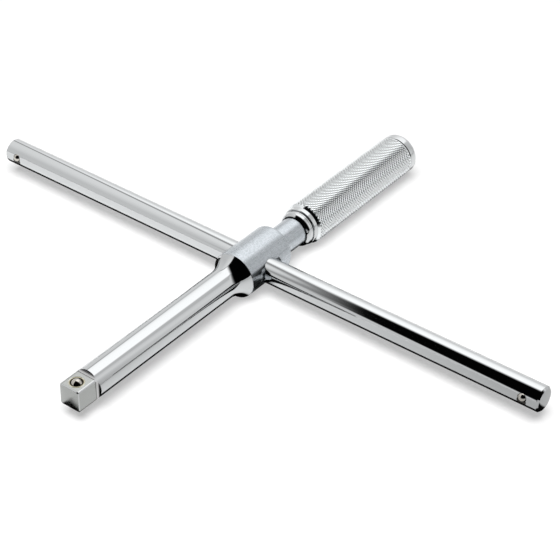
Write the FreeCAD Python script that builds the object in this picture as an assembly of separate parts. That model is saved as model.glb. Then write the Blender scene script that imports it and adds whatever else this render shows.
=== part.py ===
import FreeCAD, Part
import math
import os

# Sliding cross handle with a half-inch square drive and a spinning grip. Millimetres.
# +X runs along the cross bar, +Y along the shaft towards the grip, +Z is up.
# The origin is where the axes of the shaft and of the cross bar meet, inside the boss.

# Square drive and shaft
SQUARE = 12.7            # across flats, the standard half-inch drive
SHAFT_R = 8.5            # also rounds the four long corners of the square
TIP_Y = -143.5
FLAT_LENGTH = 12.6
RUN_OUT_R = 1.7          # concave end that the milling cutter leaves on each flat
TIP_CHAMFER = 0.5

# Flare, boss and neck
FLARE_START_Y = -26.5
BOSS_FRONT_Y = -15.8
BOSS_REAR_Y = 18.2
BOSS_R = 13.1
BOSS_EDGE_R = 1.6
NECK_R = 8.2
NECK_FILLET = 0.8
NECK_END_Y = 50.9        # shoulder for the front thrust washer, inside the grip

# Spindle that the grip spins on
SPINDLE_R = 6.5
SPINDLE_END_Y = 123.0
SPINDLE_CHAMFER = 0.8
RING_GROOVE_Y = 119.0
RING_GROOVE_WIDTH = 1.35
RING_GROOVE_R = 5.9

# Cross bar
BAR_R = 7.0
BAR_LENGTH = 360.0
BAR_CHAMFER = 1.0
BAR_OFF_CENTRE = 1.75    # how far along +X the bar stands at rest
BAR_ROLL = 9.0           # degrees that the bar's balls point above -Y
BALL_FROM_END = 9.3
BORE_R = 7.08            # running fit on the bar

# Drag rings in the bore
DRAG_RING_X = 7.0
DRAG_RING_SECTION_R = 0.7
DRAG_GROOVE_WIDTH = 1.9
DRAG_GROOVE_R = 8.45
DRAG_RING_GAP = 0.02     # radial room between the ring and the groove's floor

# Detent balls
DRIVE_BALL_R = 3.175
DRIVE_BALL_OUT = 1.6     # how far the ball stands out of the flat
DRIVE_BALL_FROM_TIP = 6.2
DRIVE_POCKET_DEPTH = 10.7
BAR_BALL_R = 2.38
BAR_BALL_OUT = 1.4
BAR_POCKET_DEPTH = 10.4
POCKET_CLEARANCE = 0.05
DISH_DEPTH = 0.35
STAKE_RING_R = 4.25
STAKE_RING_WIDTH = 0.3
STAKE_RING_DEPTH = 0.15

# Springs
SPRING_WIRE_R = 0.28
SPRING_TURNS = 5
SPRING_END_GAP = 0.06
SPRING_SIDE_GAP = 0.15

# Grip, from the front collar to the end cap
GRIP_R = 12.2
COLLAR_FRONT_Y = 37.1
COLLAR_BORE_R = 8.75
LIP_R = 10.1
LIP_LENGTH = 4.3
LIP_ROUND = 2.2          # outer edge of the lip, which starts 60 degrees forward
RING_ROUND = 0.45        # outer edge of the second ring
BORE_EDGE = 0.15         # chamfer of the collar's mouth
SLIT_WIDTH = 0.3
SLIT_R = 9.8
SECOND_RING_R = 10.9
SLEEVE_FRONT_Y = 44.6
SLEEVE_CHAMFER = 1.3
SLEEVE_CHAMFER_LENGTH = 1.9
SLEEVE_REAR_Y = 134.0
SLEEVE_BORE_R = 9.4
SOCKET_R = 10.1          # counterbores for the collar's and the cap's spigots
SPIGOT_LENGTH = 7.4
CAP_R = 11.9
CAP_END_Y = 141.0
CAP_ROUND = 3.2
CAP_RIM_ROUND = 0.7      # front edge of the rim
CAP_SHADOW_DEPTH = 0.75
CAP_SHADOW_GAP = 0.1
CAP_HOLLOW_R = 8.2
CAP_WALL = 3.0

# Bearings of the grip
RUNNING_CLEARANCE = 0.05
BUSH_LENGTH = 14.0
FRONT_BUSH_Y = 52.25
REAR_BUSH_END_Y = 116.2
WASHER_R = 8.4
WASHER_THICKNESS = 1.2
END_PLAY = 0.12
WAVE_HEIGHT = 0.28
WAVE_THICKNESS = 0.35
WAVES = 3
POINTS_PER_WAVE = 12
SEWING_TOLERANCE = 1e-6
RETAINING_RING_R = 8.0
RETAINING_RING_THICKNESS = 1.2
RETAINING_RING_GAP = 50.0
EAR_CENTRE_R = 7.6
EAR_R = 1.3
EAR_HOLE_R = 0.6

ORIGIN = FreeCAD.Vector(0, 0, 0)
ALONG_X = FreeCAD.Vector(1, 0, 0)
ALONG_Y = FreeCAD.Vector(0, 1, 0)
ALONG_Z = FreeCAD.Vector(0, 0, 1)
FULL_TURN = 360.0
PAST = 1.0               # how far a cutter runs past the face that it opens


def outline(start, *steps):
    """A closed face from a start point and steps: an end point, or an arc's middle and end point."""
    here = FreeCAD.Vector(start)
    first = here
    edges = []
    for step in steps:
        if isinstance(step[0], tuple):
            middle, end = (FreeCAD.Vector(point) for point in step)
            edges.append(Part.Arc(here, middle, end).toShape())
        else:
            end = FreeCAD.Vector(step)
            edges.append(Part.makeLine(here, end))
        here = end
    edges.append(Part.makeLine(here, first))
    return Part.Face(Part.Wire(edges))


def turned(start, *steps):
    """A solid turned about Y. Points are (radius, y)."""
    def place(point):
        return (point[0], point[1], 0)

    placed = []
    for step in steps:
        is_arc = isinstance(step[0], tuple)
        placed.append(tuple(place(point) for point in step) if is_arc else place(step))
    return outline(place(start), *placed).revolve(ORIGIN, ALONG_Y, FULL_TURN)


def tube(outer_r, inner_r, from_y, to_y):
    """A plain ring or tube about Y."""
    return turned((inner_r, from_y), (outer_r, from_y), (outer_r, to_y), (inner_r, to_y))


def round_corner(centre, radius, from_angle, to_angle):
    """The middle and end points of an arc, as a step of an outline. Angles in degrees."""
    def at(angle):
        turn = math.radians(angle)
        return (centre[0] + radius * math.cos(turn), centre[1] + radius * math.sin(turn))

    return (at((from_angle + to_angle) / 2), at(to_angle))


def flat_cutter():
    """Mills one flat of the square on the +Z side: tip chamfer, flat, concave run-out."""
    half = SQUARE / 2
    flat_end = TIP_Y + FLAT_LENGTH
    far = SHAFT_R + PAST
    middle_angle = math.radians(45)
    arc_middle = (0, flat_end + RUN_OUT_R * math.sin(middle_angle),
                  half + RUN_OUT_R * (1 - math.cos(middle_angle)))
    face = outline(
        (0, TIP_Y - PAST, half - TIP_CHAMFER - PAST),
        (0, TIP_Y + TIP_CHAMFER, half),
        (0, flat_end, half),
        (arc_middle, (0, flat_end + RUN_OUT_R, half + RUN_OUT_R)),
        (0, flat_end + RUN_OUT_R, far),
        (0, TIP_Y - PAST, far),
    )
    face.translate(FreeCAD.Vector(-far, 0, 0))
    return face.extrude(FreeCAD.Vector(2 * far, 0, 0))


def ball_centre(ball_r, surface_z, stands_out):
    """Height of a detent ball's centre under a surface at surface_z."""
    return surface_z + stands_out - ball_r


def ball_pocket(ball_r, surface_z, stands_out, depth):
    """Cuts a blind hole along Z whose closed-in mouth follows the ball and keeps it in."""
    centre_z = ball_centre(ball_r, surface_z, stands_out)
    hole_r = ball_r + POCKET_CLEARANCE
    floor_z = surface_z - depth
    bottom = FreeCAD.Vector(0, 0, floor_z)
    hole = Part.makeCylinder(hole_r, centre_z - floor_z, bottom, ALONG_Z)
    crown = Part.makeSphere(hole_r, FreeCAD.Vector(0, 0, centre_z))
    mouth_r = math.sqrt(hole_r ** 2 - (surface_z - DISH_DEPTH - centre_z) ** 2)
    dish_floor = FreeCAD.Vector(0, 0, surface_z - DISH_DEPTH)
    dish_r = ball_r + DISH_DEPTH / 2
    spread = (dish_r - mouth_r) / DISH_DEPTH
    dish = Part.makeCone(mouth_r, dish_r + spread * PAST, DISH_DEPTH + PAST, dish_floor, ALONG_Z)
    return hole.fuse(crown).fuse(dish).removeSplitter()


def spring(ball_r, surface_z, stands_out, depth):
    """A compression spring that fills a ball pocket, from its floor to the ball."""
    coil_r = ball_r - SPRING_SIDE_GAP - SPRING_WIRE_R
    low_z = surface_z - depth + SPRING_END_GAP + SPRING_WIRE_R
    to_wire = ball_r + SPRING_END_GAP + SPRING_WIRE_R
    high_z = ball_centre(ball_r, surface_z, stands_out) - math.sqrt(to_wire ** 2 - coil_r ** 2)
    pitch = (high_z - low_z) / SPRING_TURNS
    helix = Part.makeHelix(pitch, high_z - low_z, coil_r)
    section = Part.makeCircle(SPRING_WIRE_R, FreeCAD.Vector(coil_r, 0, 0), ALONG_Y)
    coil = Part.Wire(helix).makePipeShell([Part.Wire(section)], True, True)
    coil.translate(FreeCAD.Vector(0, 0, low_z))
    return coil


def drive_shaft():
    """One forging from the square to the spindle, with the cross bore and the ball pocket."""
    flare_length = BOSS_FRONT_Y - FLARE_START_Y
    flare_rise = BOSS_R - SHAFT_R
    flare_r = (flare_rise ** 2 + flare_length ** 2) / (2 * flare_rise)
    flare_turn = math.degrees(math.asin(flare_length / flare_r))
    body = turned(
        (0, TIP_Y),
        (SHAFT_R - TIP_CHAMFER, TIP_Y),
        (SHAFT_R, TIP_Y + TIP_CHAMFER),
        (SHAFT_R, FLARE_START_Y),
        round_corner((SHAFT_R + flare_r, FLARE_START_Y), flare_r, 180, 180 - flare_turn),
        (BOSS_R, BOSS_REAR_Y - BOSS_EDGE_R),
        round_corner((BOSS_R - BOSS_EDGE_R, BOSS_REAR_Y - BOSS_EDGE_R), BOSS_EDGE_R, 0, 90),
        (NECK_R + NECK_FILLET, BOSS_REAR_Y),
        round_corner((NECK_R + NECK_FILLET, BOSS_REAR_Y + NECK_FILLET), NECK_FILLET, 270, 180),
        (NECK_R, NECK_END_Y),
        (SPINDLE_R, NECK_END_Y),
        (SPINDLE_R, RING_GROOVE_Y),
        (RING_GROOVE_R, RING_GROOVE_Y),
        (RING_GROOVE_R, RING_GROOVE_Y + RING_GROOVE_WIDTH),
        (SPINDLE_R, RING_GROOVE_Y + RING_GROOVE_WIDTH),
        (SPINDLE_R, SPINDLE_END_Y - SPINDLE_CHAMFER),
        (SPINDLE_R - SPINDLE_CHAMFER, SPINDLE_END_Y),
        (0, SPINDLE_END_Y),
    )
    for quarter in range(4):
        cutter = flat_cutter()
        cutter.rotate(ORIGIN, ALONG_Y, quarter * FULL_TURN / 4)
        body = body.cut(cutter)
    bore = Part.makeCylinder(BORE_R, 2 * (BOSS_R + PAST), FreeCAD.Vector(-BOSS_R - PAST, 0, 0), ALONG_X)
    for side in (-1, 1):
        groove_start = FreeCAD.Vector(side * DRAG_RING_X - DRAG_GROOVE_WIDTH / 2, 0, 0)
        bore = bore.fuse(Part.makeCylinder(DRAG_GROOVE_R, DRAG_GROOVE_WIDTH, groove_start, ALONG_X))
    return body.cut(bore).cut(at_drive_ball(drive_pocket()))


def drive_pocket():
    """The drive ball's pocket with the shallow ring that the staking punch leaves round it."""
    pocket = ball_pocket(DRIVE_BALL_R, SQUARE / 2, DRIVE_BALL_OUT, DRIVE_POCKET_DEPTH)
    ring_floor = FreeCAD.Vector(0, 0, SQUARE / 2 - STAKE_RING_DEPTH)
    height = STAKE_RING_DEPTH + PAST
    outer = Part.makeCylinder(STAKE_RING_R, height, ring_floor, ALONG_Z)
    inner = Part.makeCylinder(STAKE_RING_R - STAKE_RING_WIDTH, height, ring_floor, ALONG_Z)
    return pocket.fuse(outer.cut(inner))


def at_drive_ball(shape):
    """Moves a shape made along Z at the origin to the drive ball's place."""
    shape.translate(FreeCAD.Vector(0, TIP_Y + DRIVE_BALL_FROM_TIP, 0))
    return shape


def at_bar_ball(shape, side):
    """Moves a shape made along Z at the origin to a bar ball's place; side is -1 left or 1 right."""
    shape.rotate(ORIGIN, ALONG_X, 90 - BAR_ROLL)
    from_middle = BAR_LENGTH / 2 - BALL_FROM_END
    shape.translate(FreeCAD.Vector(BAR_OFF_CENTRE + side * from_middle, 0, 0))
    return shape


def cross_bar():
    """A round bar with chamfered ends and a blind ball pocket near each end."""
    half = BAR_LENGTH / 2
    bar = turned(
        (0, -half),
        (BAR_R - BAR_CHAMFER, -half),
        (BAR_R, -half + BAR_CHAMFER),
        (BAR_R, half - BAR_CHAMFER),
        (BAR_R - BAR_CHAMFER, half),
        (0, half),
    )
    bar.rotate(ORIGIN, ALONG_Z, -90)
    bar.translate(FreeCAD.Vector(BAR_OFF_CENTRE, 0, 0))
    for side in (-1, 1):
        pocket = ball_pocket(BAR_BALL_R, BAR_R, BAR_BALL_OUT, BAR_POCKET_DEPTH)
        bar = bar.cut(at_bar_ball(pocket, side))
    return bar


def ball(ball_r, surface_z, stands_out):
    """A detent ball at rest against its pocket's mouth."""
    return Part.makeSphere(ball_r, FreeCAD.Vector(0, 0, ball_centre(ball_r, surface_z, stands_out)))


def drag_ring(side):
    """A rubber ring in the bore's groove that just meets the bar."""
    centre = FreeCAD.Vector(side * DRAG_RING_X, 0, 0)
    ring_r = DRAG_GROOVE_R - DRAG_RING_SECTION_R - DRAG_RING_GAP
    return Part.makeTorus(ring_r, DRAG_RING_SECTION_R, centre, ALONG_X)


def grip_sleeve():
    """The tube that carries the knurl, counterbored at both ends."""
    socket_front = SLEEVE_FRONT_Y + SPIGOT_LENGTH
    socket_rear = SLEEVE_REAR_Y - SPIGOT_LENGTH
    return turned(
        (SOCKET_R, SLEEVE_FRONT_Y),
        (GRIP_R - SLEEVE_CHAMFER, SLEEVE_FRONT_Y),
        (GRIP_R, SLEEVE_FRONT_Y + SLEEVE_CHAMFER_LENGTH),
        (GRIP_R, SLEEVE_REAR_Y),
        (SOCKET_R, SLEEVE_REAR_Y),
        (SOCKET_R, socket_rear),
        (SLEEVE_BORE_R, socket_rear),
        (SLEEVE_BORE_R, socket_front),
        (SOCKET_R, socket_front),
    )


def grip_front_collar():
    """The stepped ring in the sleeve's mouth: round lip, slit, second ring, then its spigot."""
    slit_front = COLLAR_FRONT_Y + LIP_LENGTH
    slit_rear = slit_front + SLIT_WIDTH
    lip_centre = (LIP_R - LIP_ROUND, COLLAR_FRONT_Y + 2.0)
    return turned(
        (COLLAR_BORE_R, COLLAR_FRONT_Y + BORE_EDGE),
        (COLLAR_BORE_R + BORE_EDGE, COLLAR_FRONT_Y),
        (lip_centre[0] + LIP_ROUND / 2, lip_centre[1] - LIP_ROUND * math.sin(math.radians(60))),
        round_corner(lip_centre, LIP_ROUND, 300, 360),
        (LIP_R, slit_front),
        (SLIT_R, slit_front),
        (SLIT_R, slit_rear),
        (SECOND_RING_R - RING_ROUND, slit_rear),
        round_corner((SECOND_RING_R - RING_ROUND, slit_rear + RING_ROUND), RING_ROUND, 270, 360),
        (SECOND_RING_R, SLEEVE_FRONT_Y),
        (SOCKET_R, SLEEVE_FRONT_Y),
        (SOCKET_R, SLEEVE_FRONT_Y + SPIGOT_LENGTH),
        (COLLAR_BORE_R, SLEEVE_FRONT_Y + SPIGOT_LENGTH),
    )


def grip_end_cap():
    """A cup with a rounded outer edge, pressed into the sleeve's far end."""
    shadow_r = CAP_R - CAP_SHADOW_DEPTH
    rim_y = SLEEVE_REAR_Y + CAP_SHADOW_GAP
    return turned(
        (0, CAP_END_Y - CAP_WALL),
        (CAP_HOLLOW_R, CAP_END_Y - CAP_WALL),
        (CAP_HOLLOW_R, SLEEVE_REAR_Y - SPIGOT_LENGTH),
        (SOCKET_R, SLEEVE_REAR_Y - SPIGOT_LENGTH),
        (SOCKET_R, SLEEVE_REAR_Y),
        (shadow_r, SLEEVE_REAR_Y),
        (shadow_r, rim_y),
        (CAP_R - CAP_RIM_ROUND, rim_y),
        round_corner((CAP_R - CAP_RIM_ROUND, rim_y + CAP_RIM_ROUND), CAP_RIM_ROUND, 270, 360),
        (CAP_R, CAP_END_Y - CAP_ROUND),
        round_corner((CAP_R - CAP_ROUND, CAP_END_Y - CAP_ROUND), CAP_ROUND, 0, 90),
        (0, CAP_END_Y),
    )


def bush(from_y):
    """A plain bearing pressed in the sleeve, with a running fit on the spindle."""
    return tube(SLEEVE_BORE_R, SPINDLE_R + RUNNING_CLEARANCE, from_y, from_y + BUSH_LENGTH)


def thrust_washer(from_y):
    """A flat washer on the spindle."""
    return tube(WASHER_R, SPINDLE_R + RUNNING_CLEARANCE, from_y, from_y + WASHER_THICKNESS)


def wave_edge(radius, middle_y):
    """A closed curve round Y that waves along it."""
    steps = POINTS_PER_WAVE * WAVES
    points = []
    for step in range(steps):
        turn = 2 * math.pi * step / steps
        wave = WAVE_HEIGHT * math.sin(WAVES * turn)
        points.append(FreeCAD.Vector(radius * math.cos(turn), middle_y + wave, radius * math.sin(turn)))
    curve = Part.BSplineCurve()
    curve.interpolate(points, PeriodicFlag=True)
    return curve.toShape()


def wave_washer(middle_y):
    """A thin washer pressed into waves, so that it springs along the spindle."""
    half = WAVE_THICKNESS / 2
    inner_r = SPINDLE_R + RUNNING_CLEARANCE
    edges = [wave_edge(radius, middle_y + lift)
             for radius, lift in ((inner_r, -half), (WASHER_R, -half), (WASHER_R, half), (inner_r, half))]
    faces = [Part.makeRuledSurface(edges[side], edges[(side + 1) % 4]) for side in range(4)]
    solid = Part.Solid(Part.Shell(faces))
    solid.fix(SEWING_TOLERANCE, SEWING_TOLERANCE, SEWING_TOLERANCE)
    return solid


def retaining_ring(from_y):
    """An external snap ring in the spindle's groove, open at the top, with two pliers' ears."""
    thick = RETAINING_RING_THICKNESS
    start = FreeCAD.Vector(0, from_y, 0)
    ring = Part.makeCylinder(RETAINING_RING_R, thick, start, ALONG_Y)
    half_gap = RETAINING_RING_GAP / 2
    reach = RETAINING_RING_R + PAST
    spread = reach * math.tan(math.radians(half_gap))
    gap = outline((0, from_y - PAST, 0), (spread, from_y - PAST, reach), (-spread, from_y - PAST, reach))
    ring = ring.cut(gap.extrude(FreeCAD.Vector(0, thick + 2 * PAST, 0)))
    ear_angle = math.radians(half_gap + math.degrees(math.asin(EAR_R / EAR_CENTRE_R)))
    for side in (-1, 1):
        centre = FreeCAD.Vector(
            side * EAR_CENTRE_R * math.sin(ear_angle), from_y, EAR_CENTRE_R * math.cos(ear_angle))
        ring = ring.fuse(Part.makeCylinder(EAR_R, thick, centre, ALONG_Y))
        ring = ring.cut(Part.makeCylinder(EAR_HOLE_R, thick, centre, ALONG_Y))
    inner_r = RING_GROOVE_R + RUNNING_CLEARANCE
    return ring.cut(Part.makeCylinder(inner_r, thick, start, ALONG_Y)).removeSplitter()


def bar_detent(shape_of, side, *extra):
    """A ball or spring made to the bar's sizes, at the left or right pocket."""
    return at_bar_ball(shape_of(BAR_BALL_R, BAR_R, BAR_BALL_OUT, *extra), side)


rear_washer_y = REAR_BUSH_END_Y + END_PLAY
washer_end_y = rear_washer_y + WASHER_THICKNESS
ring_y = RING_GROOVE_Y + (RING_GROOVE_WIDTH - RETAINING_RING_THICKNESS) / 2
parts = {
    "drive_shaft": drive_shaft(),
    "drive_ball": at_drive_ball(ball(DRIVE_BALL_R, SQUARE / 2, DRIVE_BALL_OUT)),
    "drive_ball_spring": at_drive_ball(
        spring(DRIVE_BALL_R, SQUARE / 2, DRIVE_BALL_OUT, DRIVE_POCKET_DEPTH)),
    "cross_bar": cross_bar(),
    "bar_ball_left": bar_detent(ball, -1),
    "bar_ball_right": bar_detent(ball, 1),
    "bar_spring_left": bar_detent(spring, -1, BAR_POCKET_DEPTH),
    "bar_spring_right": bar_detent(spring, 1, BAR_POCKET_DEPTH),
    "drag_ring_left": drag_ring(-1),
    "drag_ring_right": drag_ring(1),
    "grip_sleeve": grip_sleeve(),
    "grip_front_collar": grip_front_collar(),
    "grip_end_cap": grip_end_cap(),
    "front_bush": bush(FRONT_BUSH_Y),
    "rear_bush": bush(REAR_BUSH_END_Y - BUSH_LENGTH),
    "front_thrust_washer": thrust_washer(NECK_END_Y),
    "rear_thrust_washer": thrust_washer(rear_washer_y),
    "wave_washer": wave_washer((washer_end_y + ring_y) / 2),
    "retaining_ring": retaining_ring(ring_y),
}

os.makedirs("parts", exist_ok=True)
for name, shape in parts.items():
    shape.exportStep(f"parts/{name}.step")
    print(name, shape.isValid(), len(shape.Solids), round(shape.Volume, 2), "mm3")
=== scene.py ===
import math

import bmesh
import bpy
import numpy as np
from mathutils import Matrix, Vector


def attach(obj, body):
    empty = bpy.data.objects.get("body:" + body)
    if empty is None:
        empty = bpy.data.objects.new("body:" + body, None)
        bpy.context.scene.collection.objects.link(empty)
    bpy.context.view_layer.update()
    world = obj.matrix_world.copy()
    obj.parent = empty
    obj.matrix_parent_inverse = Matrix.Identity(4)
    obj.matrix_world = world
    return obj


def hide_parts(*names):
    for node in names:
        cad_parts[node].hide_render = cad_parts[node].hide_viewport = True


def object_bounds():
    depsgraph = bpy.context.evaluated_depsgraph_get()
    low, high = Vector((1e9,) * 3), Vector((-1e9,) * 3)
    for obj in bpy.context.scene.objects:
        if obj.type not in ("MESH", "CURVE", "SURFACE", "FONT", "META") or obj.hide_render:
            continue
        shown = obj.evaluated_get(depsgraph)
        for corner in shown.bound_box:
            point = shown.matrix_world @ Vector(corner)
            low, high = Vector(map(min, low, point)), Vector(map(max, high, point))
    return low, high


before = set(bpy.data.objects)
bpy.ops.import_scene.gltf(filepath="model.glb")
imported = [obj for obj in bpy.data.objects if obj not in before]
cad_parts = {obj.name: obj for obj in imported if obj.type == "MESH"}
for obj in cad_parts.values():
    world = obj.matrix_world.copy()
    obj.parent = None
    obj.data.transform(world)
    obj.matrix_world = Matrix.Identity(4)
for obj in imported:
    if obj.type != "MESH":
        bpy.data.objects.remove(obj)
cad_low, cad_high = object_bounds()

# Camera. A long lens in front of the square drive and to its right, looking down at the
# crossing of shaft and bar, so that both keep nearly the same thickness along their length.
LOOK_AT = Vector((0.0154, 0.0045, -0.0075))
CAMERA_AZIMUTH = math.radians(37.0)
CAMERA_ELEVATION = math.radians(36.85)
CAMERA_ROLL = math.radians(1.02)
CAMERA_DISTANCE = 0.9419
SENSOR_WIDTH = 36.0
FOCAL_LENGTH = 112.8
towards_camera = Vector((
    math.sin(CAMERA_AZIMUTH) * math.cos(CAMERA_ELEVATION),
    -math.cos(CAMERA_AZIMUTH) * math.cos(CAMERA_ELEVATION),
    math.sin(CAMERA_ELEVATION),
))
camera_data = bpy.data.cameras.new("camera")
camera_data.sensor_width = SENSOR_WIDTH
camera_data.lens = FOCAL_LENGTH
camera = bpy.data.objects.new("camera", camera_data)
camera.location = LOOK_AT + CAMERA_DISTANCE * towards_camera
upright = towards_camera.to_track_quat("Z", "Y").to_matrix()
camera.rotation_euler = (upright @ Matrix.Rotation(CAMERA_ROLL, 3, "Z")).to_euler()
bpy.context.scene.collection.objects.link(camera)
bpy.context.scene.camera = camera
bpy.context.scene.view_settings.view_transform = "Standard"


# Studio light. A white tent whose walls differ a little, with a bright box overhead and behind the
# tool, a grey seam beside the box, and a dark room at the right, which gives chrome its black bands.
# Directions are an azimuth, 0 at +Y and 90 at +X, and an elevation above the table, in degrees.
def add_node(tree, kind, feeds=None, **settings):
    """Adds a node, sets its properties, and feeds its inputs from sockets or with values."""
    node = tree.nodes.new(kind)
    for name, value in settings.items():
        setattr(node, name, value)
    for key, value in (feeds or {}).items():
        if isinstance(value, bpy.types.NodeSocket):
            tree.links.new(value, node.inputs[key])
        else:
            node.inputs[key].default_value = value
    return node


def colour(hex_code):
    """An sRGB hex colour as linear red, green, blue and alpha."""
    channels = [int(hex_code[start:start + 2], 16) / 255 for start in (1, 3, 5)]
    linear = [c / 12.92 if c <= 0.04045 else ((c + 0.055) / 1.055) ** 2.4 for c in channels]
    return (*linear, 1.0)


def heading(azimuth, elevation=0.0):
    """The unit direction at an azimuth and an elevation in degrees."""
    turn, rise = math.radians(azimuth), math.radians(elevation)
    return (math.sin(turn) * math.cos(rise), math.cos(turn) * math.cos(rise), math.sin(rise))


def shade(ramp, stops):
    """Sets a colour ramp's stops from (position, grey brightness)."""
    points = ramp.color_ramp.elements
    while len(points) < len(stops):
        points.new(0.5)
    for point, (position, brightness) in zip(points, stops):
        point.position = position
        point.color = (brightness, brightness, brightness, 1.0)


BRIGHTEST = 1.7
# The walls' brightness by azimuth.
WALLS = [(-180, 0.75), (-150, 0.88), (-92, 0.82), (-62, 0.95), (-40, 1.0), (-10, 1.0), (20, 0.85),
         (37, 0.75), (44, 0.98), (50, 1.04), (55, 0.8), (60, 0.6), (68, 0.3), (90, 0.2)]
world = bpy.data.worlds.new("white_tent")
world.use_nodes = True
sky = world.node_tree
sky.nodes.clear()
aim = add_node(sky, "ShaderNodeTexCoord").outputs["Generated"]
aim_parts = add_node(sky, "ShaderNodeSeparateXYZ", {0: aim}).outputs
azimuth = add_node(sky, "ShaderNodeMath", {0: aim_parts["X"], 1: aim_parts["Y"]}, operation="ARCTAN2")
along_ramp = add_node(sky, "ShaderNodeMapRange", {"Value": azimuth.outputs[0], "From Min": -math.pi,
                                                 "From Max": math.pi})
wall_ramp = add_node(sky, "ShaderNodeValToRGB", {0: along_ramp.outputs[0]})
shade(wall_ramp, [(turn / 360 + 0.5, brightness / BRIGHTEST) for turn, brightness in WALLS])


def within(*edges):
    """How far a direction lies inside soft edges. An edge is the direction that it faces, and the
    cosines from it at which its effect starts and is complete."""
    share = None
    for facing, start, end in edges:
        reach = add_node(sky, "ShaderNodeVectorMath", {0: aim, 1: facing}, operation="DOT_PRODUCT")
        soft = add_node(sky, "ShaderNodeMapRange", {
            "Value": reach.outputs["Value"], "From Min": start, "From Max": end,
        }, interpolation_type="SMOOTHSTEP").outputs[0]
        if share is not None:
            soft = add_node(sky, "ShaderNodeMath", {0: share, 1: soft}, operation="MULTIPLY").outputs[0]
        share = soft
    return share


UP = heading(0, 90)
LEFT = heading(-90)
RIGHT = heading(90)
FRONT_RIGHT = heading(165)
BOX_MIDDLE = heading(-46.8, 55.7)
BOX_SIDE = heading(82.4, -14.6)
PAST_BOX_SIDE = [-part for part in BOX_SIDE]
ROOM_SLANT = (0.9142, 0.2153, 0.3436)
glow_share = within((UP, 0.45, 1.05), (LEFT, -0.2, 0.4))
seam_share = within((BOX_SIDE, -0.715, -0.69), (PAST_BOX_SIDE, 0.655, 0.675), (UP, 0.3, 0.6))
box_share = within((BOX_SIDE, -0.67, -0.62), (BOX_MIDDLE, 0.73, 0.80), (UP, 0.22, 0.82))
ceiling_share = within((UP, 0.87, 0.94))
dark_share = within((RIGHT, -0.475, -0.435), (ROOM_SLANT, -0.475, -0.435), (FRONT_RIGHT, -0.36, -0.06))
tent = wall_ramp.outputs[0]
for share, grey in ((glow_share, "#E3E3E3"), (box_share, "#FFFFFF"), (ceiling_share, "#FFFFFF"),
                    (seam_share, "#8C8C8C"), (dark_share, "#030303")):
    tent = add_node(sky, "ShaderNodeMix", {0: share, 6: tent, 7: colour(grey)}, data_type="RGBA").outputs[2]
# The tool mirrors the tent; behind the table's edge there is plain white.
seen_light = add_node(sky, "ShaderNodeBackground", {"Color": tent, "Strength": BRIGHTEST})
backdrop = add_node(sky, "ShaderNodeBackground", {"Color": colour("#FFFFFF"), "Strength": 1.0})
by_camera = add_node(sky, "ShaderNodeLightPath").outputs["Is Camera Ray"]
chosen = add_node(sky, "ShaderNodeMixShader", {0: by_camera, 1: seen_light.outputs[0],
                                               2: backdrop.outputs[0]})
add_node(sky, "ShaderNodeOutputWorld", {"Surface": chosen.outputs[0]})
bpy.context.scene.world = world
# The lamp alone lights matt surfaces; the tent only shows in polished ones.
world.cycles_visibility.diffuse = False

# The lamp that lights the table. It is wide, and hangs high on the camera's side, so the shadows
# stay soft and close under the tool. Polished metal doesn't mirror it.
LAMP_DIAMETER = 2.68
LAMP_POWER = 156.0
LAMP_PLACE = (0.44, -0.98, 3.0)
lamp_data = bpy.data.lights.new("table_lamp", "AREA")
lamp_data.shape = "DISK"
lamp_data.size = LAMP_DIAMETER
lamp_data.energy = LAMP_POWER
lamp = bpy.data.objects.new("table_lamp", lamp_data)
lamp.location = LAMP_PLACE
lamp.visible_glossy = False
lamp.visible_camera = False
bpy.context.scene.collection.objects.link(lamp)


# Table. Matt white paper on a light table, so it glows and its shadows are short; it touches the
# tool's lowest line. In reflections the paper's colour is painted shade: dark in strips close under
# the shaft and under the bar, and darker and darker towards the right.
TABLE_RADIUS = 5.0
PAPER_FIBRE = 0.0006
TABLE_GLOW = 0.45
FADE_DIRECTION = (2.4, -1.0, 0.0)
FADE = {"From Min": -0.1, "From Max": 0.42, "To Min": 0.98, "To Max": 0.51}
UNDER_BAR = {"From Min": 0.0082, "From Max": 0.0098}
UNDER_SHAFT = {"From Min": 0.0096, "From Max": 0.011}
BEYOND_TIP = {"From Min": 0.154, "From Max": 0.157}


def new_material(name, **sockets):
    """A material with one Principled shader, and that shader's sockets set by name."""
    material = bpy.data.materials.new(name)
    material.use_nodes = True
    shader = material.node_tree.nodes["Principled BSDF"]
    for socket, value in sockets.items():
        shader.inputs[socket.replace("_", " ")].default_value = value
    return material, material.node_tree, shader


paper, tree, shader = new_material("matt_white_paper", Base_Color=colour("#F4F4F4"), Roughness=0.9,
                                   Specular_IOR_Level=0.1)
place = add_node(tree, "ShaderNodeTexCoord").outputs["Object"]
fibre = add_node(tree, "ShaderNodeTexNoise", {"Vector": place, "Scale": 1 / PAPER_FIBRE})
relief = add_node(tree, "ShaderNodeBump", {"Height": fibre.outputs[0], "Strength": 0.1,
                                           "Distance": 0.00002})
tree.links.new(relief.outputs[0], shader.inputs["Normal"])
# The paper's colour that metal mirrors is painted shade: dark under the shaft and the bar, and greyer towards
# the right.
looked_at = add_node(tree, "ShaderNodeLightPath").outputs["Is Camera Ray"]
falloff = add_node(tree, "ShaderNodeVectorMath", {0: place, 1: FADE_DIRECTION}, operation="DOT_PRODUCT")
painted_fade = add_node(tree, "ShaderNodeMapRange", {"Value": falloff.outputs["Value"], **FADE})
from_centre = add_node(tree, "ShaderNodeVectorMath", {0: place}, operation="ABSOLUTE")
beside = add_node(tree, "ShaderNodeSeparateXYZ", {0: from_centre.outputs[0]}).outputs
by_bar = add_node(tree, "ShaderNodeMapRange", {"Value": beside["Y"], **UNDER_BAR})
by_shaft = add_node(tree, "ShaderNodeMapRange", {"Value": beside["X"], **UNDER_SHAFT})
by_tip = add_node(tree, "ShaderNodeMapRange", {"Value": beside["Y"], **BEYOND_TIP})
grey = by_shaft.outputs[0]
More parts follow.
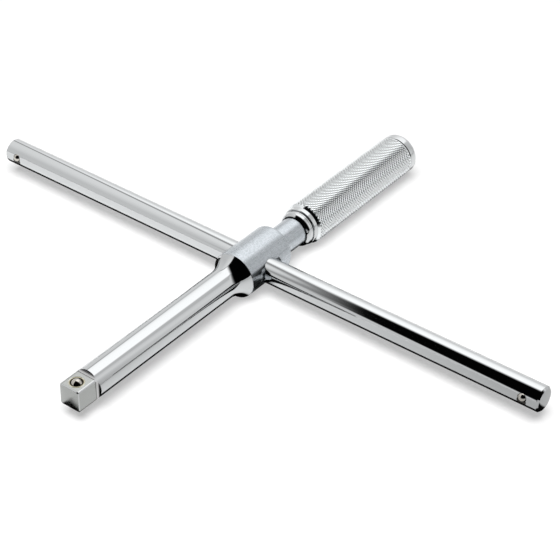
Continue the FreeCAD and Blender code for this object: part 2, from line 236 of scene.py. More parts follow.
for how, other in (("MAXIMUM", by_tip), ("MINIMUM", by_bar), ("MULTIPLY", painted_fade)):
    grey = add_node(tree, "ShaderNodeMath", {0: grey, 1: other.outputs[0]}, operation=how).outputs[0]
painted_shade_grey = add_node(tree, "ShaderNodeCombineColor", {0: grey, 1: grey, 2: grey})
whiteness = add_node(tree, "ShaderNodeMix", {0: looked_at, 6: painted_shade_grey.outputs[0], 7: colour("#BFBFBF")},
                     data_type="RGBA")
tree.links.new(whiteness.outputs[2], shader.inputs["Base Color"])
from_below = add_node(tree, "ShaderNodeMath", {0: looked_at, 1: TABLE_GLOW}, operation="MULTIPLY")
tree.links.new(from_below.outputs[0], shader.inputs["Emission Strength"])
shader.inputs["Emission Color"].default_value = colour("#FFFFFF")
table_mesh = bpy.data.meshes.new("table")
rim = [(TABLE_RADIUS * math.cos(turn), TABLE_RADIUS * math.sin(turn), cad_low.z)
       for turn in np.radians(range(0, 360, 6))]
table_mesh.from_pydata(rim, [], [list(range(len(rim)))])
table_mesh.materials.append(paper)
table = bpy.data.objects.new("table", table_mesh)
bpy.context.scene.collection.objects.link(table)


# Shaft, boss and neck. One forging in chrome vanadium steel: the square is milled, the rest is
# turned, and all of it is chrome plated. The shaft is polished; the boss and neck stay satin.
MM = 0.001
SHARP = math.radians(32)
SQUARE_HALF = 6.35
SHAFT_R = 8.5
TIP_Y = -143.5
FLAT_LENGTH = 12.6
RUN_OUT_R = 2.2
RUN_OUT_LENGTH = 1.7
CORNER_BLEND = 0.13
TIP_CHAMFER = 0.5
TIP_CROWN = 0.5
FLARE_START_Y = -26.5
BOSS_FRONT_Y = -15.8
BOSS_REAR_Y = 18.2
BOSS_R = 13.1
BOSS_EDGE_R = 1.6
NECK_R = 8.2
NECK_FILLET = 0.8
NECK_END_Y = 50.9
SPINDLE_R = 6.5
SPINDLE_END_Y = 123.0
SPINDLE_CHAMFER = 0.8
BORE_R = 7.08
BORE_EDGE_R = 0.25
BORE_EDGE_TURN = 65.0
# The grooves: where each starts and ends, and the radius of its floor.
RING_GROOVE = (119.0, 120.35, 5.9)
DRAG_GROOVE = (6.05, 7.95, 8.45)
DRIVE_BALL = {"ball_r": 3.175, "stands_out": 1.6, "depth": 10.7}
DRIVE_BALL_Y = TIP_Y + 6.2
POCKET_CLEARANCE = 0.05
DISH_DEPTH = 0.35
DISH_MARGIN = 0.175
STAKE_R = 4.1
STAKE_DEPTH = 0.14
OVERRUN = 2.0


def skin(name, points, faces):
    """A closed mesh from points in millimetres, smooth but for its sharp edges."""
    mesh = bpy.data.meshes.new(name)
    mesh.from_pydata(np.array(points, dtype=float) * MM, [], faces)
    sheet = bmesh.new()
    sheet.from_mesh(mesh)
    bmesh.ops.remove_doubles(sheet, verts=sheet.verts, dist=0.0005 * MM)
    bmesh.ops.recalc_face_normals(sheet, faces=sheet.faces)
    sheet.to_mesh(mesh)
    sheet.free()
    mesh.shade_smooth()
    mesh.set_sharp_from_angle(angle=SHARP)
    piece = bpy.data.objects.new(name, mesh)
    bpy.context.scene.collection.objects.link(piece)
    return piece


def even_angles(count):
    """That many angles evenly round a turn."""
    return np.arange(count) * 2 * math.pi / count


def turned(name, rows, angles, closed=False):
    """A skin round Y. A row is a radius and a y, each one number or one per angle; radius 0 is a
    pole. A closed skin joins its last row to its first."""
    points, rings, faces = [], [], []
    for radius, height in rows:
        start = len(points)
        if np.ndim(radius) == 0 and radius == 0:
            points.append((0.0, float(np.mean(height)), 0.0))
            rings.append([start])
        else:
            radii = np.broadcast_to(radius, len(angles))
            heights = np.broadcast_to(height, len(angles))
            points.extend(zip(radii * np.sin(angles), heights, radii * np.cos(angles)))
            rings.append(list(range(start, start + len(angles))))
    pairs = list(zip(rings, rings[1:]))
    if closed:
        pairs.append((rings[-1], rings[0]))
    for low, high in pairs:
        for here in range(len(angles)):
            after = (here + 1) % len(angles)
            loop = (low[here % len(low)], low[after % len(low)],
                    high[after % len(high)], high[here % len(high)])
            faces.append(list(dict.fromkeys(loop)))
    return skin(name, points, faces)


def arc(centre, radius, start, end, steps=8):
    """Outline points (radius, y) along an arc; angles in degrees, 0 pointing away from the axis."""
    turns = np.radians(np.linspace(start, end, steps + 1))
    return [(centre[0] + radius * math.cos(t), centre[1] + radius * math.sin(t)) for t in turns]


def rounded(corners, steps=5):
    """Outline points from (radius, y, rounding) corners. A ring beside each rounding keeps the
    long faces next to it straight in the light."""
    outline = []
    for index, (radius, height, rounding) in enumerate(corners):
        corner = Vector((radius, height))
        if rounding == 0:
            outline.append((radius, height))
            continue
        before = Vector(corners[index - 1][:2]) - corner
        after = Vector(corners[(index + 1) % len(corners)][:2]) - corner
        half = before.angle(after) / 2
        reach = rounding / math.tan(half)
        middle = corner + (before.normalized() + after.normalized()).normalized() * rounding / math.sin(half)
        start = corner + before.normalized() * reach - middle
        end = corner + after.normalized() * reach - middle
        sweep = start.angle_signed(end)
        if before.length > 4 * reach:
            outline.append(tuple(corner + before.normalized() * reach * 1.5))
        for step in range(steps + 1):
            turn = -sweep * step / steps
            spoke = Matrix.Rotation(turn, 2) @ start
            outline.append(tuple(middle + spoke))
        if after.length > 4 * reach:
            outline.append(tuple(corner + after.normalized() * reach * 1.5))
    return outline


def cut(piece, *cutters):
    """Takes the cutters out of a piece, and deletes them."""
    for cutter in cutters:
        tool = piece.modifiers.new("cut", "BOOLEAN")
        tool.operation = "DIFFERENCE"
        tool.solver = "EXACT"
        tool.object = cutter
    graph = bpy.context.evaluated_depsgraph_get()
    result = bpy.data.meshes.new_from_object(piece.evaluated_get(graph))
    piece.modifiers.clear()
    piece.data = result
    for cutter in cutters:
        bpy.data.objects.remove(cutter)
    result.shade_smooth()
    result.set_sharp_from_angle(angle=SHARP)


def ball_pocket(surface, ball_r, stands_out, depth):
    """A cutter along Y for a ball's blind hole: a mouth that keeps the ball in, and a staked dish."""
    centre = surface + stands_out - ball_r
    hole_r = ball_r + POCKET_CLEARANCE
    dish_r = ball_r + DISH_MARGIN
    mouth = math.degrees(math.asin((surface - DISH_DEPTH - centre) / hole_r))
    rows = [(0, surface - depth), (hole_r, surface - depth)]
    rows += arc((0, centre), hole_r, 0, mouth, 10)
    rows += [(dish_r - 0.06, surface - 0.1), (dish_r + 0.6, surface + 0.5)]
    rows += [(dish_r + 0.6, surface + OVERRUN), (0, surface + OVERRUN)]
    return turned("pocket", rows, even_angles(96))


def bore_cutter():
    """A cutter along X for the cross bore, with grooves for the drag rings and eased mouths that
    follow the boss."""
    angles = even_angles(192)

    def boss_side(radius):
        return np.sqrt(BOSS_R ** 2 - (radius * np.sin(angles)) ** 2)

    low, high, groove_r = DRAG_GROOVE
    half = [(BORE_R, low), (groove_r, low), (groove_r, high), (BORE_R, high)]
    last = math.radians(BORE_EDGE_TURN)
    for turn in np.linspace(0, last, 5):
        radius = BORE_R + BORE_EDGE_R * (1 - math.cos(turn))
        half.append((radius, boss_side(radius) - BORE_EDGE_R * (math.sin(last) - math.sin(turn))))
    radius, height = half[-1]
    lead = 1.8
    flared = radius + lead * math.sin(last)
    half += [(flared, height + lead * math.cos(last)), (flared, BOSS_R + 2 * OVERRUN)]
    other_half = [(radius, -height) for radius, height in reversed(half)]
    rows = [(0, -BOSS_R - 2 * OVERRUN)] + other_half + half + [(0, BOSS_R + 2 * OVERRUN)]
    cutter = turned("bore", rows, angles)
    cutter.data.transform(Matrix.Rotation(math.radians(-90), 4, "Z"))
    return cutter


# Columns of the skin stand closer at the square's four lands, with one on each of their edges.
land = math.acos(SQUARE_HALF / SHAFT_R)
quarter = np.concatenate([np.linspace(-land, land, 45), np.linspace(land, math.pi / 2 - land, 5)[1:-1]])
columns = np.concatenate([quarter + math.pi / 2 * turn for turn in range(4)])
from_flat = (columns + math.pi / 4) % (math.pi / 2) - math.pi / 4
square = -CORNER_BLEND * np.log(np.exp(-SHAFT_R / CORNER_BLEND)
                                + np.exp(-SQUARE_HALF / np.cos(from_flat) / CORNER_BLEND))
# The tip's face is slightly crowned, and a chamfer joins it to the flats.
tip_scale = 1 - TIP_CHAMFER / SQUARE_HALF
rows = [(0, TIP_Y)]
for spread in (0.15, 0.3, 0.45, 0.6, 0.7, 0.8, 0.88, 0.95, 1.0):
    rows.append((square * tip_scale * spread, TIP_Y + TIP_CROWN * spread ** 3))
edge_y = TIP_Y + TIP_CROWN
rows += [(square * (tip_scale * (1 - k) + k), edge_y + TIP_CHAMFER * k) for k in (0.35, 0.7)]
rows += [(square, edge_y + TIP_CHAMFER), (square, edge_y + TIP_CHAMFER + 0.3)]
flat_end = TIP_Y + FLAT_LENGTH
rows.append((square, flat_end))
# The milling cutter leaves a concave run-out at the end of each flat.
cutter_turn = np.arccos(np.clip(1 - (SHAFT_R * np.cos(from_flat) - SQUARE_HALF) / RUN_OUT_R, 0, 1))
for part in np.linspace(0, 1, 9)[1:]:
    swing = cutter_turn * part
    height = SQUARE_HALF + RUN_OUT_R * (1 - np.cos(swing))
    rows.append((np.minimum(SHAFT_R, height / np.cos(from_flat)), flat_end + RUN_OUT_LENGTH * np.sin(swing)))
# The flare is one arc from the shaft to the boss's front edge.
flare_rise = BOSS_R - SHAFT_R
flare_length = BOSS_FRONT_Y - FLARE_START_Y
flare_r = (flare_rise ** 2 + flare_length ** 2) / (2 * flare_rise)
flare_turn = math.degrees(math.asin(flare_length / flare_r))
rows += [(SHAFT_R, flat_end + RUN_OUT_LENGTH + 0.5), (SHAFT_R, FLARE_START_Y - 2.0)]
rows += arc((SHAFT_R + flare_r, FLARE_START_Y), flare_r, 180, 180 - flare_turn, 28)[:-1]
rows += [(BOSS_R - 0.1, BOSS_FRONT_Y - 0.12), (BOSS_R - 0.03, BOSS_FRONT_Y), (BOSS_R, BOSS_FRONT_Y + 0.15)]
rows += [(BOSS_R, BOSS_FRONT_Y + 0.4), (BOSS_R, BOSS_FRONT_Y + 3.0), (BOSS_R, 14.0)]
rear = rounded([
    (BOSS_R, BOSS_FRONT_Y, 0), (BOSS_R, BOSS_REAR_Y, BOSS_EDGE_R), (NECK_R, BOSS_REAR_Y, NECK_FILLET),
    (NECK_R, NECK_END_Y, 0.2), (SPINDLE_R, NECK_END_Y, 0),
    (SPINDLE_R, RING_GROOVE[0], 0), (RING_GROOVE[2], RING_GROOVE[0], 0),
    (RING_GROOVE[2], RING_GROOVE[1], 0), (SPINDLE_R, RING_GROOVE[1], 0),
    (SPINDLE_R, SPINDLE_END_Y - SPINDLE_CHAMFER, 0), (SPINDLE_R - SPINDLE_CHAMFER, SPINDLE_END_Y, 0),
    (0, SPINDLE_END_Y, 0),
])
rows += rear[1:]
shaft = turned("chromed_shaft", rows, columns)
pocket = ball_pocket(SQUARE_HALF, **DRIVE_BALL)
stake_outline = [(STAKE_R + across, SQUARE_HALF + above) for across, above in (
    (-0.2, 0.5), (-0.13, -STAKE_DEPTH / 2), (0, -STAKE_DEPTH), (0.13, -STAKE_DEPTH / 2), (0.2, 0.5))]
stake = turned("stake", stake_outline, even_angles(96), closed=True)
onto_flat = Matrix.Translation((0, DRIVE_BALL_Y * MM, 0)) @ Matrix.Rotation(math.radians(90), 4, "X")
for cutter in (pocket, stake):
    cutter.data.transform(onto_flat)
# The bore comes last, because the pocket's cut fails on a skin that the bore has opened.
cut(shaft, pocket, stake, bore_cutter())

# Chrome plate over steel polished on a felt wheel: a mirror with faint hairlines along the tool.
# On the boss and neck the steel was only linished with a belt, so the plate is pearly there. The
# real belt lines are about 0.05 mm apart and the pearly grain finer than that; they are drawn about
# 0.5 and 0.9 mm apart so that they show. The milled flats are duller, and the flat round the ball is
# stained. Painted shade darkens the run-outs, with a lighter painted band in each, and the ball's
# dish, in the gap round the ball.
POLISH_LINE = 0.0005
LINE_STRETCH = 40
PEARL_GRAIN = 0.0009
STAIN_R = 4.6
# The reach of the painted shade round the drive ball.
GAP_SHADE_R = 3.6
PLATE = "#C6C8C9"


def plate_lines(tree, place, spacing, along):
    """Noise drawn out into lines along one axis; along is 0 for X, 1 for Y."""
    scale = [1 / spacing] * 3
    scale[along] /= LINE_STRETCH
    stretched = add_node(tree, "ShaderNodeVectorMath", {0: place, 1: scale}, operation="MULTIPLY")
    return add_node(tree, "ShaderNodeTexNoise", {"Vector": stretched.outputs[0], "Scale": 1.0, "Detail": 4.0,
                                                 "Roughness": 0.6}).outputs[0]


shaft_chrome, tree, shader = new_material("polished_and_satin_chrome_plate", Base_Color=colour(PLATE),
                                          Metallic=1.0)
place = add_node(tree, "ShaderNodeTexCoord").outputs["Object"]
along = add_node(tree, "ShaderNodeSeparateXYZ", {0: place}).outputs["Y"]
crosswise = add_node(tree, "ShaderNodeVectorMath", {0: place, 1: (1.0, 0.0, 1.0)}, operation="MULTIPLY")
from_axis = add_node(tree, "ShaderNodeVectorMath", {0: crosswise.outputs[0]},
                     operation="LENGTH").outputs["Value"]
from_centre = add_node(tree, "ShaderNodeVectorMath", {0: place}, operation="ABSOLUTE")
sides = add_node(tree, "ShaderNodeSeparateXYZ", {0: from_centre.outputs[0]}).outputs
out = add_node(tree, "ShaderNodeMath", {0: sides["X"], 1: sides["Z"]}, operation="MAXIMUM").outputs[0]
from_ball = add_node(tree, "ShaderNodeVectorMath", {
    0: place, 1: (0, DRIVE_BALL_Y * MM, SQUARE_HALF * MM)}, operation="DISTANCE").outputs["Value"]

# Masks: each is 0 before the first place, in millimetres, and 1 past the second.
masks = {}
for name, value, nothing, full in (
        ("satin", along, BOSS_FRONT_Y - 0.4, BOSS_FRONT_Y + 0.3),
        ("on_flat", out, SQUARE_HALF - 0.07, SQUARE_HALF - 0.02),
        ("on_tip", along, TIP_Y + 0.7, TIP_Y + 0.5),
        ("under_round", from_axis, SHAFT_R - 0.01, SHAFT_R - 0.05),
        ("on_square", along, flat_end + RUN_OUT_LENGTH + 0.2, flat_end + RUN_OUT_LENGTH + 0.1),
        ("run_out", along, flat_end - 0.15, flat_end - 0.05),
        ("run_out_rise", out, SQUARE_HALF - 0.05, SHAFT_R - 0.2),
        ("stain", from_ball, STAIN_R, STAIN_R - 0.8),
        ("gap_shade", from_ball, GAP_SHADE_R, GAP_SHADE_R - 0.2)):
    masks[name] = add_node(tree, "ShaderNodeMapRange", {"Value": value, "From Min": nothing * MM,
                                                        "From Max": full * MM}).outputs[0]
milled = masks["on_flat"]
for how, mask in (("MAXIMUM", "on_tip"), ("MULTIPLY", "under_round"), ("MULTIPLY", "on_square")):
    milled = add_node(tree, "ShaderNodeMath", {0: milled, 1: masks[mask]}, operation=how).outputs[0]

lines = plate_lines(tree, place, POLISH_LINE, 1)
satin_finish = add_node(tree, "ShaderNodeMapRange", {"Value": lines, "From Min": 0.3, "From Max": 0.7,
                                                     "To Min": 0.24, "To Max": 0.32})
finish = add_node(tree, "ShaderNodeMapRange", {"Value": milled, "To Min": 0.035, "To Max": 0.2})
roughness = add_node(tree, "ShaderNodeMix", {0: masks["satin"], 2: finish.outputs[0],
                                             3: satin_finish.outputs[0]})
tree.links.new(roughness.outputs[0], shader.inputs["Roughness"])
depth = add_node(tree, "ShaderNodeMapRange", {"Value": masks["satin"], "To Min": 0.01, "To Max": 0.35})
relief = add_node(tree, "ShaderNodeBump", {"Height": lines, "Strength": depth.outputs[0],
                                           "Distance": 0.00005})
tree.links.new(relief.outputs[0], shader.inputs["Normal"])

# Painted shade in the run-outs: a thin dark line at the flat, a lighter band, then dark up to the shaft's
# round.
run_out_painted_shade = add_node(tree, "ShaderNodeValToRGB", {0: masks["run_out_rise"]})
shade(run_out_painted_shade, [(0.03, 0.18), (0.07, 0.55), (0.3, 0.5), (0.42, 0.1), (1.0, 0.07)])
grain = add_node(tree, "ShaderNodeTexNoise", {"Vector": place, "Scale": 1 / PEARL_GRAIN, "Detail": 3.0})
pearl = add_node(tree, "ShaderNodeMapRange", {"Value": grain.outputs[0], "From Min": 0.35, "From Max": 0.65})
belt = add_node(tree, "ShaderNodeMix", {0: pearl.outputs[0], 6: colour("#A9AFB3"), 7: colour("#BFC4C9")},
                data_type="RGBA").outputs[2]
flats = colour("#A8AAA8")
for share, over in ((masks["stain"], colour("#B4AF98")), (masks["run_out"], run_out_painted_shade.outputs[0])):
    flats = add_node(tree, "ShaderNodeMix", {0: share, 6: flats, 7: over}, data_type="RGBA").outputs[2]
tint = colour(PLATE)
# Painted shade: a dark ring in the ball's dish and pocket, where shade falls in the gap round the ball.
for share, over in ((masks["satin"], belt), (milled, flats), (masks["gap_shade"], colour("#2E2B20"))):
    tint = add_node(tree, "ShaderNodeMix", {0: share, 6: tint, 7: over}, data_type="RGBA").outputs[2]
tree.links.new(tint, shader.inputs["Base Color"])
shaft.data.materials.clear()
shaft.data.materials.append(shaft_chrome)
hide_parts("drive_shaft")
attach(shaft, "handle")


# Cross bar. Cold drawn steel bar, faced and chamfered at both ends, polished and chrome plated.
# A blind hole near each end holds a ball that stops the bar at the boss.
BAR_R = 7.0
BAR_LEFT_X = -178.25
BAR_RIGHT_X = 181.75
BAR_CHAMFER = 1.0
BAR_BALL = {"ball_r": 2.38, "stands_out": 1.4, "depth": 10.4}
BAR_BALL_X = (-168.95, 172.45)
BAR_ROLL = 9.0
END_CROWN = 0.25
END_ROUND = 0.15
CHAMFER_ROUND = 0.25

rows = []
for end, inward in ((BAR_LEFT_X, 1), (BAR_RIGHT_X, -1)):
    face_r = BAR_R - BAR_CHAMFER
    half = [(0, end)]
    half += [(face_r * spread, end + inward * END_CROWN * spread ** 3) for spread in (0.3, 0.6, 0.8, 0.92)]
    edge = rounded([(face_r * 0.92, end + inward * END_CROWN * 0.8, 0),
                    (face_r, end + inward * END_CROWN, END_ROUND),
                    (BAR_R, end + inward * (END_CROWN + BAR_CHAMFER), CHAMFER_ROUND), (BAR_R, 0, 0)])
    half += edge[1:-1]
    half += [(BAR_R, end + inward * from_end) for from_end in (5.5, 13.0, 16.0)]
    rows += half if inward > 0 else half[::-1]
bar = turned("chromed_cross_bar", rows, even_angles(192))
bar.data.transform(Matrix.Rotation(math.radians(-90), 4, "Z"))
pockets = []
for ball_x in BAR_BALL_X:
    pocket = ball_pocket(BAR_R, **BAR_BALL)
    pocket.data.transform(Matrix.Translation((ball_x * MM, 0, 0))
                          @ Matrix.Rotation(math.radians(180 - BAR_ROLL), 4, "X"))
    pockets.append(pocket)
cut(bar, *pockets)

# Chrome plate over a centreless ground and polished bar: the clearest mirror on the tool, with
# hairlines along it so faint that only the edge of a bright band breaks up a little. Painted shade
# darkens the staked dishes round the two balls, in the gap round each ball.
BAR_GAP_SHADE_R = 2.8
bar_chrome, tree, shader = new_material("mirror_polished_chrome_plate", Base_Color=colour(PLATE),
                                        Metallic=1.0)
place = add_node(tree, "ShaderNodeTexCoord").outputs["Object"]
lines = plate_lines(tree, place, POLISH_LINE, 0)
finish = add_node(tree, "ShaderNodeMapRange", {"Value": lines, "From Min": 0.3, "From Max": 0.7,
                                               "To Min": 0.025, "To Max": 0.05})
tree.links.new(finish.outputs[0], shader.inputs["Roughness"])
relief = add_node(tree, "ShaderNodeBump", {"Height": lines, "Strength": 0.01, "Distance": 0.00005})
tree.links.new(relief.outputs[0], shader.inputs["Normal"])
# Painted shade: a dark ring in each staked dish, where shade falls in the gap round the ball.
roll = math.radians(BAR_ROLL)
away = []
for ball_x in BAR_BALL_X:
    centre = (ball_x * MM, -BAR_R * MM * math.cos(roll), -BAR_R * MM * math.sin(roll))
    away.append(add_node(tree, "ShaderNodeVectorMath", {0: place, 1: centre}, operation="DISTANCE"))
nearest = add_node(tree, "ShaderNodeMath", {0: away[0].outputs["Value"], 1: away[1].outputs["Value"]},
                   operation="MINIMUM")
gap_shade = add_node(tree, "ShaderNodeMapRange", {"Value": nearest.outputs[0], "From Min": BAR_GAP_SHADE_R * MM,
                                              "From Max": (BAR_GAP_SHADE_R - 0.2) * MM})
tint = add_node(tree, "ShaderNodeMix", {0: gap_shade.outputs[0], 6: colour(PLATE), 7: colour("#34332F")},
                data_type="RGBA")
tree.links.new(tint.outputs[2], shader.inputs["Base Color"])
bar.data.materials.clear()
bar.data.materials.append(bar_chrome)
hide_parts("cross_bar")
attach(bar, "bar")


# Detent balls. Through-hardened bearing balls, lapped but not plated, held by the staked mouths.
# Bare steel is a little warmer and darker than the chrome round it. The real lapping marks are too
# fine to see; they are drawn at 0.4 mm, so that they just break up the ball's reflections.
LAPPING_MARK = 0.0004
ball_steel, tree, shader = new_material("lapped_bearing_steel", Metallic=1.0)
place = add_node(tree, "ShaderNodeTexCoord").outputs["Object"]
marks = add_node(tree, "ShaderNodeTexNoise", {"Vector": place, "Scale": 1 / LAPPING_MARK, "Detail": 3.0})
tone = add_node(tree, "ShaderNodeMix", {0: marks.outputs[0], 6: colour("#B9B5AE"), 7: colour("#C4C0B9")},
                data_type="RGBA")
tree.links.new(tone.outputs[2], shader.inputs["Base Color"])
finish = add_node(tree, "ShaderNodeMapRange", {"Value": marks.outputs[0], "To Min": 0.03, "To Max": 0.07})
tree.links.new(finish.outputs[0], shader.inputs["Roughness"])
for node in ("drive_ball", "bar_ball_left", "bar_ball_right"):
    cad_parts[node].data.materials.clear()
    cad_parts[node].data.materials.append(ball_steel)


# Grip sleeve. A steel tube rolled with a diamond knurl, chrome plated, and chamfered at its mouth,
# where the knurl's edge is toothed. The real diamonds are about 1 mm long; they are drawn 2 mm long
# so that they show. Each is a low pyramid with a flat top, and CREST is the flat's share of its width.
GRIP_R = 12.2
SLEEVE_FRONT_Y = 44.6
SLEEVE_REAR_Y = 134.0
MOUTH_R = 10.9
MOUTH_SLOPE = 1.3 / 1.9
SOCKET_R = 10.1
SOCKET_LENGTH = 7.4
SLEEVE_BORE_R = 9.4
REAR_CHAMFER = 0.6
REAR_SLOPE = 0.5
DIAMONDS_AROUND = 40
KNURL_START_Y = 45.0
KNURL_END_Y = 133.7
KNURL_PITCH = 2.0
KNURL_DEPTH = 0.2
CREST = 0.6

turn_step = 2 * math.pi / DIAMONDS_AROUND
row_count = 2 * round((KNURL_END_Y - KNURL_START_Y) / KNURL_PITCH)
row_step = (KNURL_END_Y - KNURL_START_Y) / row_count
points, faces = [], []


def knurl_point(turn, row, radius):
    """Adds a point of the knurl, no higher than the chamfers at the sleeve's two ends."""
    y = KNURL_START_Y + row * row_step
    mouth_r = MOUTH_R + (y - SLEEVE_FRONT_Y) * MOUTH_SLOPE
    rear_r = GRIP_R - REAR_SLOPE * (y - KNURL_END_Y + REAR_CHAMFER)
    radius = min(radius, mouth_r, rear_r)
    angle = turn * turn_step
    points.append((radius * math.sin(angle), y, radius * math.cos(angle)))
    return len(points) - 1


valley_r = GRIP_R - KNURL_DEPTH
crossings = [[knurl_point(i + 0.5 * (row % 2), row, valley_r) for i in range(DIAMONDS_AROUND)]
             for row in range(row_count + 1)]
for row in range(1, row_count):
    shift = (row + 1) % 2
    for i in range(DIAMONDS_AROUND):
        centre = i + 0.5 * shift
        west = crossings[row][i if shift else i - 1]
        east = crossings[row][(i + shift) % DIAMONDS_AROUND]
        valleys = [west, crossings[row - 1][i], east, crossings[row + 1][i]]
        crest = [knurl_point(centre + across * CREST / 2, row + along * CREST, GRIP_R)
                 for across, along in ((-1, 0), (0, -1), (1, 0), (0, 1))]
        faces.append(crest)
        for side in range(4):
            after = (side + 1) % 4
            faces.append([valleys[side], valleys[after], crest[after], crest[side]])
# The first and last rows are half diamonds, and each gives a ring that the tube's ends join.
ends = []
for row, inner in ((0, 1), (row_count, row_count - 1)):
    shift = (row + 1) % 2
    ring = [None] * (2 * DIAMONDS_AROUND)
    for i in range(DIAMONDS_AROUND):
        west = crossings[row][i if shift else i - 1]
        east = crossings[row][(i + shift) % DIAMONDS_AROUND]
        middle = knurl_point(i + 0.5 * shift, row, valley_r)
        faces += [[west, middle, crossings[inner][i]], [middle, east, crossings[inner][i]]]
        ring[2 * i + shift] = middle
        ring[(2 * i + 1 + shift) % (2 * DIAMONDS_AROUND)] = east
    ends.append(ring)
# The tube's mouth, its stepped bore and its rear face.
rings = [ends[0]]
for radius, y in ((MOUTH_R, SLEEVE_FRONT_Y), (SOCKET_R, SLEEVE_FRONT_Y),
                  (SOCKET_R, SLEEVE_FRONT_Y + SOCKET_LENGTH), (SLEEVE_BORE_R, SLEEVE_FRONT_Y + SOCKET_LENGTH),
                  (SLEEVE_BORE_R, SLEEVE_REAR_Y - SOCKET_LENGTH), (SOCKET_R, SLEEVE_REAR_Y - SOCKET_LENGTH),
                  (SOCKET_R, SLEEVE_REAR_Y), (valley_r - 0.3, SLEEVE_REAR_Y)):
    start = len(points)
    for angle in even_angles(2 * DIAMONDS_AROUND):
        points.append((radius * math.sin(angle), y, radius * math.cos(angle)))
    rings.append(list(range(start, len(points))))
rings.append(ends[1])
for low, high in zip(rings, rings[1:]):
    for here in range(2 * DIAMONDS_AROUND):
        after = (here + 1) % (2 * DIAMONDS_AROUND)
        faces.append([low[here], low[after], high[after], high[here]])
sleeve = skin("knurled_sleeve", points, faces)

# Chrome plate over rolled knurling: it mirrors less sharply than the polished parts, because the
# rolls leave the flanks a little rough. The grain is drawn at 0.3 mm, coarser than real.
ROLLED_GRAIN = 0.0003
knurl_chrome, tree, shader = new_material("rolled_knurl_chrome_plate", Base_Color=colour("#E4E7E8"),
                                          Metallic=1.0)
place = add_node(tree, "ShaderNodeTexCoord").outputs["Object"]
grain = add_node(tree, "ShaderNodeTexNoise", {"Vector": place, "Scale": 1 / ROLLED_GRAIN, "Detail": 3.0})
finish = add_node(tree, "ShaderNodeMapRange", {"Value": grain.outputs[0], "From Min": 0.3, "From Max": 0.7,
                                               "To Min": 0.1, "To Max": 0.18})
tree.links.new(finish.outputs[0], shader.inputs["Roughness"])
relief = add_node(tree, "ShaderNodeBump", {"Height": grain.outputs[0], "Strength": 0.15,
                                           "Distance": 0.00003})
tree.links.new(relief.outputs[0], shader.inputs["Normal"])
sleeve.data.materials.append(knurl_chrome)
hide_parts("grip_sleeve")
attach(sleeve, "grip")


# Front collar and end cap. Turned steel pressed into the sleeve's two ends. The collar has a
# round lip, a narrow slit and a second ring; the cap is a smooth cup with a large outer rounding.
COLLAR_BORE_R = 8.75
COLLAR_FRONT_Y = 37.1
COLLAR_REAR_Y = 52.0
LIP_R = 10.1
LIP_ROUND = 2.2
LIP_CENTRE = (LIP_R - LIP_ROUND, 39.1)
RING_R = 10.9
SLIT_R = 9.8
SLIT = (41.4, 41.7)
CAP_R = 11.9
CAP_END_Y = 141.0
CAP_FLOOR_Y = 138.0
CAP_FRONT_Y = 126.6
CAP_BORE_R = 8.2
CAP_ROUND = 3.2
CAP_RIM_ROUND = 0.7
CAP_SHADOW = (134.0, 134.1)
CAP_SHADOW_DEPTH = 0.75

collar_outline = [(COLLAR_BORE_R, COLLAR_FRONT_Y + 0.1), (COLLAR_BORE_R + 0.15, COLLAR_FRONT_Y)]
collar_outline += arc(LIP_CENTRE, LIP_ROUND, -60, 0, 12)
collar_outline += rounded([
    (LIP_R, 39.1, 0), (LIP_R, 40.35, 0), (LIP_R - 0.1, 40.45, 0), (LIP_R, 40.55, 0), (LIP_R, SLIT[0], 0.12),
    (SLIT_R, SLIT[0], 0), (SLIT_R, SLIT[1], 0), (RING_R, SLIT[1], 0.45), (RING_R, SLEEVE_FRONT_Y, 0.05),
    (SOCKET_R, SLEEVE_FRONT_Y, 0), (SOCKET_R, COLLAR_REAR_Y, 0), (COLLAR_BORE_R, COLLAR_REAR_Y, 0),
])[1:]
collar = turned("turned_collar", collar_outline, even_angles(160), closed=True)
cap_outline = rounded([
    (0, CAP_FLOOR_Y, 0), (CAP_BORE_R, CAP_FLOOR_Y, 0), (CAP_BORE_R, CAP_FRONT_Y, 0),
    (SOCKET_R, CAP_FRONT_Y, 0), (SOCKET_R, CAP_SHADOW[0], 0), (CAP_R - CAP_SHADOW_DEPTH, CAP_SHADOW[0], 0),
    (CAP_R - CAP_SHADOW_DEPTH, CAP_SHADOW[1], 0), (CAP_R, CAP_SHADOW[1], CAP_RIM_ROUND),
    (CAP_R, CAP_END_Y, CAP_ROUND), (0, CAP_END_Y, 0),
], 10)
cap = turned("turned_end_cap", cap_outline, even_angles(160))

# Chrome plate over fine turning, then a light polish: a mirror with rings round it. The real
# feed marks are about 0.08 mm apart; they are drawn 0.4 mm apart so that they show.
FEED_MARK = 0.0004
turned_chrome, tree, shader = new_material("turned_chrome_plate", Base_Color=colour(PLATE), Metallic=1.0)
place = add_node(tree, "ShaderNodeTexCoord").outputs["Object"]
rings_only = add_node(tree, "ShaderNodeVectorMath", {0: place, 1: (0.0, 1 / FEED_MARK, 0.0)},
                      operation="MULTIPLY")
feed = add_node(tree, "ShaderNodeTexNoise", {"Vector": rings_only.outputs[0], "Scale": 1.0, "Detail": 2.0})
finish = add_node(tree, "ShaderNodeMapRange", {"Value": feed.outputs[0], "From Min": 0.3, "From Max": 0.7,
                                               "To Min": 0.04, "To Max": 0.1})
tree.links.new(finish.outputs[0], shader.inputs["Roughness"])
relief = add_node(tree, "ShaderNodeBump", {"Height": feed.outputs[0], "Strength": 0.12,
                                           "Distance": 0.00005})
tree.links.new(relief.outputs[0], shader.inputs["Normal"])
for piece, node in ((collar, "grip_front_collar"), (cap, "grip_end_cap")):
    piece.data.materials.append(turned_chrome)
    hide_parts(node)
    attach(piece, "grip")


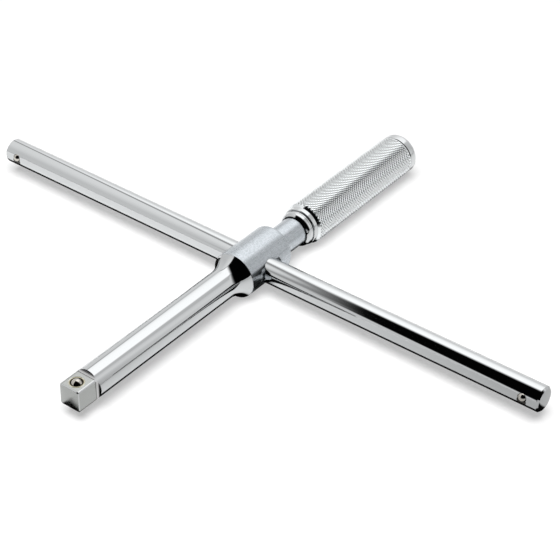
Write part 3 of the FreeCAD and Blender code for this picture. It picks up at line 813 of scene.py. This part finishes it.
# Springs, wave washer and retaining ring. Hard drawn or blued spring steel, left oiled: dark
# grey with a dull sheen and drawing lines, which are drawn 0.3 mm apart, coarser than real.
DRAWING_LINE = 0.0003
spring_steel, tree, shader = new_material("oiled_spring_steel", Metallic=1.0)
place = add_node(tree, "ShaderNodeTexCoord").outputs["Object"]
drawn = add_node(tree, "ShaderNodeTexNoise", {"Vector": place, "Scale": 1 / DRAWING_LINE, "Detail": 4.0,
                                              "Distortion": 0.6})
tone = add_node(tree, "ShaderNodeMix", {0: drawn.outputs[0], 6: colour("#77797B"), 7: colour("#A0A2A4")},
                data_type="RGBA")
tree.links.new(tone.outputs[2], shader.inputs["Base Color"])
finish = add_node(tree, "ShaderNodeMapRange", {"Value": drawn.outputs[0], "To Min": 0.2, "To Max": 0.4})
tree.links.new(finish.outputs[0], shader.inputs["Roughness"])
for node in ("drive_ball_spring", "bar_spring_left", "bar_spring_right", "wave_washer", "retaining_ring"):
    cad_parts[node].data.materials.clear()
    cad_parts[node].data.materials.append(spring_steel)

# Bushes and thrust washers. Pressed and sintered bronze, full of oil: brown, softly shining, and
# speckled with open pores, drawn at 0.25 mm though real ones are finer.
PORE = 0.00025
bronze, tree, shader = new_material("oiled_sintered_bronze", Metallic=1.0)
place = add_node(tree, "ShaderNodeTexCoord").outputs["Object"]
pores = add_node(tree, "ShaderNodeTexVoronoi", {"Vector": place, "Scale": 1 / PORE})
speckle = add_node(tree, "ShaderNodeMapRange", {"Value": pores.outputs["Distance"], "From Min": 0.1,
                                                "From Max": 0.4})
tone = add_node(tree, "ShaderNodeMix", {0: speckle.outputs[0], 6: colour("#5B3F22"), 7: colour("#C49A63")},
                data_type="RGBA")
tree.links.new(tone.outputs[2], shader.inputs["Base Color"])
finish = add_node(tree, "ShaderNodeMapRange", {"Value": speckle.outputs[0], "To Min": 0.55, "To Max": 0.3})
tree.links.new(finish.outputs[0], shader.inputs["Roughness"])
relief = add_node(tree, "ShaderNodeBump", {"Height": speckle.outputs[0], "Strength": 0.3,
                                           "Distance": 0.00003})
tree.links.new(relief.outputs[0], shader.inputs["Normal"])
for node in ("front_bush", "rear_bush", "front_thrust_washer", "rear_thrust_washer"):
    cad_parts[node].data.materials.clear()
    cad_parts[node].data.materials.append(bronze)

# Drag rings. Two rings of moulded nitrile rubber in the bore's grooves, which drag on the bar.
# They are black and matt, with a faint bloom in patches about 0.8 mm across.
BLOOM = 0.0008
rubber, tree, shader = new_material("moulded_nitrile_rubber", IOR=1.5)
place = add_node(tree, "ShaderNodeTexCoord").outputs["Object"]
bloom = add_node(tree, "ShaderNodeTexNoise", {"Vector": place, "Scale": 1 / BLOOM, "Detail": 4.0})
tone = add_node(tree, "ShaderNodeMix", {0: bloom.outputs[0], 6: colour("#161616"), 7: colour("#262626")},
                data_type="RGBA")
tree.links.new(tone.outputs[2], shader.inputs["Base Color"])
finish = add_node(tree, "ShaderNodeMapRange", {"Value": bloom.outputs[0], "To Min": 0.5, "To Max": 0.75})
tree.links.new(finish.outputs[0], shader.inputs["Roughness"])
for node in ("drag_ring_left", "drag_ring_right"):
    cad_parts[node].data.materials.clear()
    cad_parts[node].data.materials.append(rubber)
